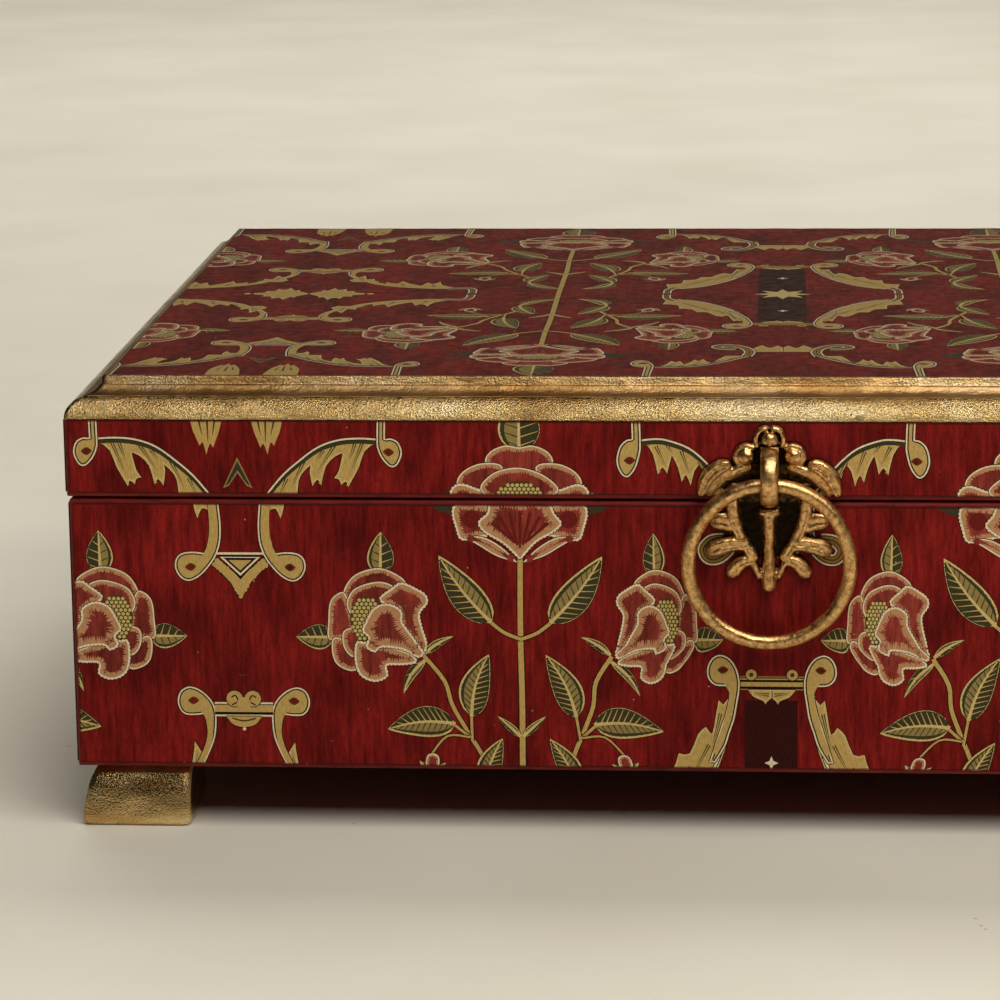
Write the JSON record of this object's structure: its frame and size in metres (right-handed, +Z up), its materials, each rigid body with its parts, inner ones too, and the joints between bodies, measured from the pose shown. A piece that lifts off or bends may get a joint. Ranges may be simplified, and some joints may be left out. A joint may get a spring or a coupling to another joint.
{
  "type": "decorative hinged box",
  "caption": "Rectangular hinged box in red floral printed paper, with a gilt moulded lid edge, gilt block feet and a hanging ring pull on a leaf plate.",
  "frame": {"origin": "on the floor, under the middle of the box that holds the whole closed object, ring pull included", "axes": "+X to the viewer's right along the front, -Y out of the front, +Z up"},
  "size_m": [0.3028, 0.2386, 0.0995],
  "materials": {
    "dark_wood": "dark painted",
    "printed_paper": "printed paper under lacquer",
    "felt": "felt",
    "gilt_wood": "rubbed gilding",
    "hinge_brass": "plain brass",
    "pull_brass": "aged gilt"
  },
  "bodies": {
    "base": {"base_front_wall": "dark_wood", "base_back_wall": "dark_wood", "base_left_wall": "dark_wood", "base_right_wall": "dark_wood", "base_bottom": "dark_wood", "base_print_front": "printed_paper", "base_print_back": "printed_paper", "base_print_left": "printed_paper", "base_print_right": "printed_paper", "base_lining_floor": "felt", "base_lining_walls": "felt", "foot_front_left": "gilt_wood", "foot_front_right": "gilt_wood", "foot_back_left": "gilt_wood", "foot_back_right": "gilt_wood", "foot_screws": "hinge_brass", "hinge_base_leaf_left": "hinge_brass", "hinge_base_leaf_right": "hinge_brass", "hinge_pin_left": "hinge_brass", "hinge_pin_right": "hinge_brass", "hinge_base_screws": "hinge_brass"},
    "lid": {"lid_front_rail": "dark_wood", "lid_back_rail": "dark_wood", "lid_left_rail": "dark_wood", "lid_right_rail": "dark_wood", "lid_top_panel": "dark_wood", "lid_moulding_front": "gilt_wood", "lid_moulding_back": "gilt_wood", "lid_moulding_left": "gilt_wood", "lid_moulding_right": "gilt_wood", "lid_print_front": "printed_paper", "lid_print_back": "printed_paper", "lid_print_left": "printed_paper", "lid_print_right": "printed_paper", "lid_print_top": "printed_paper", "lid_lining": "felt", "hinge_lid_leaf_left": "hinge_brass", "hinge_lid_leaf_right": "hinge_brass", "hinge_lid_screws": "hinge_brass", "pull_plate": "pull_brass", "pull_eye": "pull_brass", "pull_washer": "pull_brass", "pull_nut": "pull_brass"},
    "ring": {"pull_ring": "pull_brass"}
  },
  "joints": [
    {"name": "lid_hinge", "type": "hinge", "parent": "base", "child": "lid", "pos_m": [0, 0.1165, 0.07405], "axis": [-1, 0, 0], "range_deg": [0, 95]},
    {"name": "ring_swing", "type": "hinge", "parent": "lid", "child": "ring", "pos_m": [0, -0.1131, 0.07855], "axis": [-1, 0, 0], "range_deg": [0, 170]}
  ]
}
